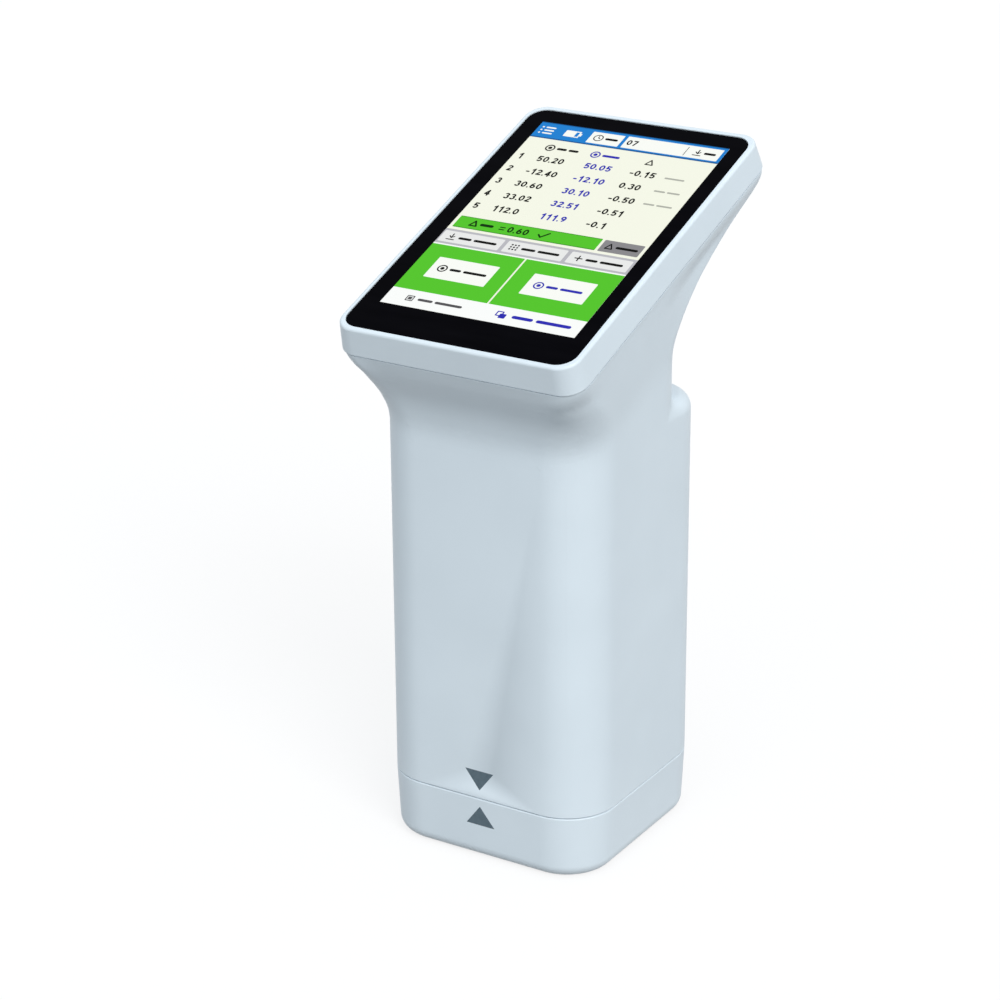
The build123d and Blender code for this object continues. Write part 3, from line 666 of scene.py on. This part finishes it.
digitWidths = {"1": 0.5, "-": 0.34, ".": 0.1}
digitStrokes = {
    "0": [("arc", 0.28, 0.5, 0.24, 0.43, 0, 360)],
    "1": [("line", 0.36, 0.0, 0.36, 1.0), ("line", 0.12, 0.76, 0.36, 0.96)],
    "2": [
        ("arc", 0.28, 0.71, 0.23, 0.22, 170, -205),
        ("line", 0.46, 0.6, 0.06, 0.07),
        ("line", 0.06, 0.07, 0.53, 0.07),
    ],
    "3": [("arc", 0.27, 0.72, 0.21, 0.21, 160, -250), ("arc", 0.27, 0.29, 0.24, 0.23, 90, -250)],
    "4": [
        ("line", 0.4, 0.0, 0.4, 0.96),
        ("line", 0.38, 0.94, 0.04, 0.3),
        ("line", 0.04, 0.27, 0.56, 0.27),
    ],
    "5": [
        ("line", 0.12, 0.93, 0.5, 0.93),
        ("line", 0.12, 0.93, 0.08, 0.5),
        ("arc", 0.27, 0.32, 0.24, 0.26, 130, -280),
    ],
    "6": [("arc", 0.29, 0.3, 0.23, 0.23, 0, 360), ("arc", 0.5, 0.36, 0.44, 0.57, 180, -75)],
    "7": [("line", 0.04, 0.93, 0.52, 0.93), ("line", 0.52, 0.93, 0.2, 0.0)],
    "9": [("arc", 0.27, 0.7, 0.23, 0.23, 0, 360), ("arc", 0.06, 0.64, 0.44, 0.57, 0, -75)],
    "-": [("line", 0.02, 0.38, 0.3, 0.38)],
    ".": [("line", 0.05, 0.06, 0.05, 0.07)],
}


def digits(text, left, middle, height):
    shapes = []
    foot = middle + height / 2
    width = screen["stroke"] * height
    for character in text:
        for kind, x, y, *rest in digitStrokes[character]:
            place = (left + x * height, foot - y * height)
            if kind == "line":
                end = (left + rest[0] * height, foot - rest[1] * height)
                shapes.append(("line", *place, *end, width))
            else:
                shapes.append(("arc", *place, rest[0] * height, rest[1] * height, *rest[2:], width))
        left += (digitWidths.get(character, screen["digitWidth"]) + screen["digitGap"]) * height
    return shapes


# Small signs for the keys: plain strokes, where a label would be a bar

def bars(middle, height, *spans):
    # each span is a left and a right end
    return [("line", left + height / 2, middle, right - height / 2, middle, height) for left, right in spans]


def triangleSign(left, middle, size, width=0.32):
    low, high = middle + size / 2, middle - size / 2
    points = [(left, low), (left + size * 0.5, high), (left + size, low)]
    return [("line", *points[i], *points[(i + 1) % 3], width) for i in range(3)]


def targetSign(x, y, size=1.25, width=0.34):
    return [("hoop", x, y, size, width), ("disc", x, y, size * 0.4)]


def storeSign(x, y):
    width = 0.28
    return [("line", x, y - 1.05, x, y + 0.4, width), ("line", x - 0.6, y - 0.2, x, y + 0.4, width),
            ("line", x + 0.6, y - 0.2, x, y + 0.4, width),
            ("line", x - 0.95, y + 1.05, x + 0.95, y + 1.05, width)]


def keypadSign(x, y):
    return [("disc", x + across, y + down, 0.26, 12) for across in (-0.8, 0, 0.8) for down in (-0.8, 0, 0.8)]


def plusSign(x, y):
    return [("line", x - 0.85, y, x + 0.85, y, 0.32), ("line", x, y - 0.85, x, y + 0.85, 0.32)]


def clockSign(x, y):
    return [("hoop", x, y, 1.25, 0.26), ("line", x, y, x, y - 0.7, 0.22),
            ("line", x, y, x + 0.5, y + 0.2, 0.22)]


def swatchSign(x, y, size=0.95):
    return [("frame", x - size, y - size, x + size, y + size, 0.26),
            ("box", x - size * 0.5, y - size * 0.5, x + size * 0.5, y + size * 0.5, 0.1)]


def pairSign(x, y, size=0.85):
    return [("frame", x - size * 1.5, y - size * 1.3, x + size * 0.5, y + size * 0.7, 0.3),
            ("box", x - size * 0.3, y - size * 0.4, x + size * 1.6, y + size * 1.4, 0.2)]


def tickSign(x, y):
    return [("line", x - 1.1, y, x - 0.3, y + 0.85, 0.42),
            ("line", x - 0.3, y + 0.85, x + 1.3, y - 0.95, 0.42)]


def readingShapes(column, left):
    shapes = []
    for text, middle in zip(readings[column], readings["middles"]):
        shapes += digits(text, left, middle, readings["height"])
    return shapes


labelBar = 0.8
noteBar = 0.55
readings = {
    "middles": [14.15, 19.3, 24.45, 29.6, 34.75],
    "rows": ["1", "2", "3", "4", "5"],
    "first": ["50.20", "-12.40", "30.60", "33.02", "112.0"],
    "second": ["50.05", "-12.10", "30.10", "32.51", "111.9"],
    "change": ["-0.15", "0.30", "-0.50", "-0.51", "-0.1"],
    "height": 1.95,
}
screenPieces = {
    "screenIvory": (0, paint(248, 250, 234), [("box", 0.45, 0, 49.4, 73.1)]),
    "screenBlue": (1, paint(30, 130, 212), [("box", 0.45, 0, 49.4, 6.3)]),
    "screenBlueEdge": (2, paint(20, 88, 150), [("box", 0.45, 5.9, 49.4, 6.3), ("box", 0.45, 0, 49.4, 0.25)]),
    "screenGreen": (1, paint(86, 200, 44), [
        ("box", 1.3, 39.2, 37.95, 43.5, 0.2),
        ("box", 0.45, 50.4, 24.4, 67.3),
        ("box", 24.85, 50.4, 49.4, 67.3),
    ]),
    "screenGreenEdge": (2, paint(60, 150, 34), [
        ("box", 1.5, 43.25, 37.8, 43.5),
        ("box", 1.5, 39.2, 37.8, 39.4),
    ]),
    "screenFoot": (1, paint(253, 255, 253), [
        ("box", 0.45, 67.3, 49.4, 73.1),
        ("box", 0.45, 49.95, 49.4, 50.4),
    ]),
    "screenGrey": (1, paint(188, 188, 194), [("box", 0.45, 44.4, 49.4, 49.95)]),
    "screenSilver": (2, paint(236, 237, 236), [
        ("box", 0.8, 45.15, 16.4, 49.25, 0.3),
        ("box", 17.4, 45.15, 32.6, 49.25, 0.3),
        ("box", 33.6, 45.15, 48.8, 49.25, 0.3),
    ]),
    "screenStone": (1, paint(140, 139, 142), [("box", 38.65, 39.3, 48.6, 43.5, 0.25)]),
    "screenWhite": (2, paint(252, 254, 248), (
        [("box", 14.8, 1.0, 23.1, 5.45, 0.15), ("box", 24.0, 0.9, 48.6, 5.45, 0.15)]
        + [("disc", 1.75, down, 0.27, 12) for down in (1.95, 3.1, 4.25)]
        + [("line", 2.8, down, 4.9, down, 0.5) for down in (1.95, 3.1, 4.25)]
        + [("box", 8.1, 1.9, 10.9, 4.35, 0.2), ("box", 10.9, 1.9, 12.1, 2.25), ("box", 10.9, 4.0, 12.1, 4.35),
           ("box", 11.75, 2.25, 12.1, 4.0), ("box", 12.1, 2.6, 12.55, 3.65, 0.1)]
        + [("box", 4.95, 54.7, 20.5, 62.2, 0.25), ("box", 29.4, 54.7, 45.15, 62.2, 0.25)]
    )),
    "screenInk": (3, paint(12, 13, 12), (
        readingShapes("first", 7.1) + readingShapes("change", 31.45) + readingShapes("rows", 2.0)
        + targetSign(7.8, 9.6) + bars(9.6, labelBar, (9.6, 12.2), (12.7, 15.3)) + triangleSign(33.1, 9.5, 1.8)
        + clockSign(17.1, 3.2) + bars(3.2, labelBar, (18.9, 22.2)) + digits("07", 24.8, 3.2, 1.8)
        + storeSign(43.0, 3.2) + bars(3.2, labelBar, (44.5, 47.5))
        + triangleSign(39.9, 41.4, 1.7) + bars(41.5, labelBar, (42.3, 47.8))
        + storeSign(3.5, 47.15) + bars(47.3, labelBar, (5.3, 8.7), (9.3, 15.2))
        + keypadSign(19.7, 47.2) + bars(47.3, labelBar, (21.6, 25.2), (25.8, 31.3))
        + plusSign(36.1, 47.2) + bars(47.3, labelBar, (37.9, 40.9), (41.5, 47.2))
        + targetSign(7.8, 58.5) + bars(58.5, labelBar, (9.7, 12.6), (13.2, 19.1))
        + [("line", 39.95, 1.6, 39.95, 4.9, 0.16)]
    )),
    "screenFootInk": (3, paint(84, 84, 86), (
        swatchSign(6.5, 70.2) + bars(70.2, labelBar, (8.5, 12.3), (12.9, 19.8))
    )),
    "screenBlueInk": (3, paint(46, 46, 180), (
        readingShapes("second", 19.55)
        + targetSign(19.8, 9.6) + bars(9.6, labelBar, (21.6, 26.1))
        + targetSign(32.4, 58.5) + bars(58.5, labelBar, (34.3, 37.2), (37.8, 43.3))
        + pairSign(29.6, 70.1) + bars(70.2, 1.0, (32.4, 37.6), (38.4, 47.0))
    )),
    "screenGreenInk": (3, paint(8, 50, 6), (
        triangleSign(5.0, 41.3, 1.8, 0.4) + bars(41.4, 0.9, (7.5, 11.0))
        + [("line", 12.7, 41.05, 13.9, 41.05, 0.32), ("line", 12.7, 41.85, 13.9, 41.85, 0.32)]
        + digits("0.60", 14.9, 41.4, 1.95) + tickSign(23.8, 41.4)
    )),
    "screenNote": (3, paint(176, 178, 168), (
        bars(14.35, noteBar, (40.2, 45.2)) + bars(19.5, noteBar, (40.2, 43.0), (43.5, 46.7))
        + bars(24.65, noteBar, (40.2, 43.0), (43.5, 47.4))
    )),
}
for name, (level, colour, shapes) in screenPieces.items():
    makeScreenPiece(name, level, colour, shapes)
print("screen drawn,", len(screenPieces), "pieces")


# Studio: a white surround, a floor that looks nearly white and keeps the shadow, and two wide soft lamps

studio = {
    "ambient": (0.69, 0.725, 0.752, 1),
    "floorSize": 4.0,
    "floorColour": paint(124, 125, 126),
    "floorLift": 0.78,
    "floorRoughness": 0.9,
}
lamps = {
    "sideLamp": {"azimuth": 55, "elevation": 35, "spread": 35, "level": 0.61, "colour": (1.04, 1.0, 0.965)},
    "frontLamp": {"azimuth": 5, "elevation": 35, "spread": 35, "level": 0.114, "colour": (1.0, 1.0, 1.0)},
}


def seenDirectly(tree):
    # the camera, mirrors and glass see plain white, and only the light on the object is shaped
    path = addNode(tree, "ShaderNodeLightPath", {})
    straight = addNode(tree, "ShaderNodeMath", {
        0: path.outputs["Is Camera Ray"],
        1: path.outputs["Is Glossy Ray"],
    }, operation="MAXIMUM")
    return addNode(tree, "ShaderNodeMath", {
        0: straight.outputs[0],
        1: path.outputs["Is Transmission Ray"],
    }, operation="MAXIMUM").outputs[0]


def makeWorld(setup):
    world = bpy.data.worlds.new("studio")
    world.use_nodes = True
    scene.world = world
    tree = world.node_tree
    tree.nodes.clear()
    colour = mixColours(tree, seenDirectly(tree), setup["ambient"], (1, 1, 1, 1))
    background = addNode(tree, "ShaderNodeBackground", {"Color": colour, "Strength": 1.0})
    addNode(tree, "ShaderNodeOutputWorld", {"Surface": background.outputs[0]})


def makeFloor(setup):
    shape = bmesh.new()
    bmesh.ops.create_grid(shape, x_segments=1, y_segments=1, size=setup["floorSize"])
    mesh = bpy.data.meshes.new("floor")
    shape.to_mesh(mesh)
    shape.free()
    floor = bpy.data.objects.new("floor", mesh)
    scene.collection.objects.link(floor)
    material, tree, shader = startMaterial("floorPaint")
    shader.inputs["Base Color"].default_value = setup["floorColour"]
    shader.inputs["Roughness"].default_value = setup["floorRoughness"]
    shader.inputs["Specular IOR Level"].default_value = 0.0
    shader.inputs["Emission Color"].default_value = (1, 1, 1, 1)
    lift = addNode(tree, "ShaderNodeMath", {
        0: seenDirectly(tree),
        1: setup["floorLift"],
    }, operation="MULTIPLY")
    tree.links.new(lift.outputs[0], shader.inputs["Emission Strength"])
    mesh.materials.append(material)


def makeLamp(name, setup):
    # a level of 1 lights a facing surface to its own colour
    data = bpy.data.lights.new(name, "SUN")
    data.angle = math.radians(setup["spread"])
    data.energy = setup["level"] * math.pi
    data.color = setup["colour"]
    lamp = bpy.data.objects.new(name, data)
    lamp.rotation_euler = (math.radians(90 - setup["elevation"]), 0, math.radians(setup["azimuth"]))
    scene.collection.objects.link(lamp)


makeWorld(studio)
makeFloor(studio)
for name, setup in lamps.items():
    makeLamp(name, setup)
print("studio made")
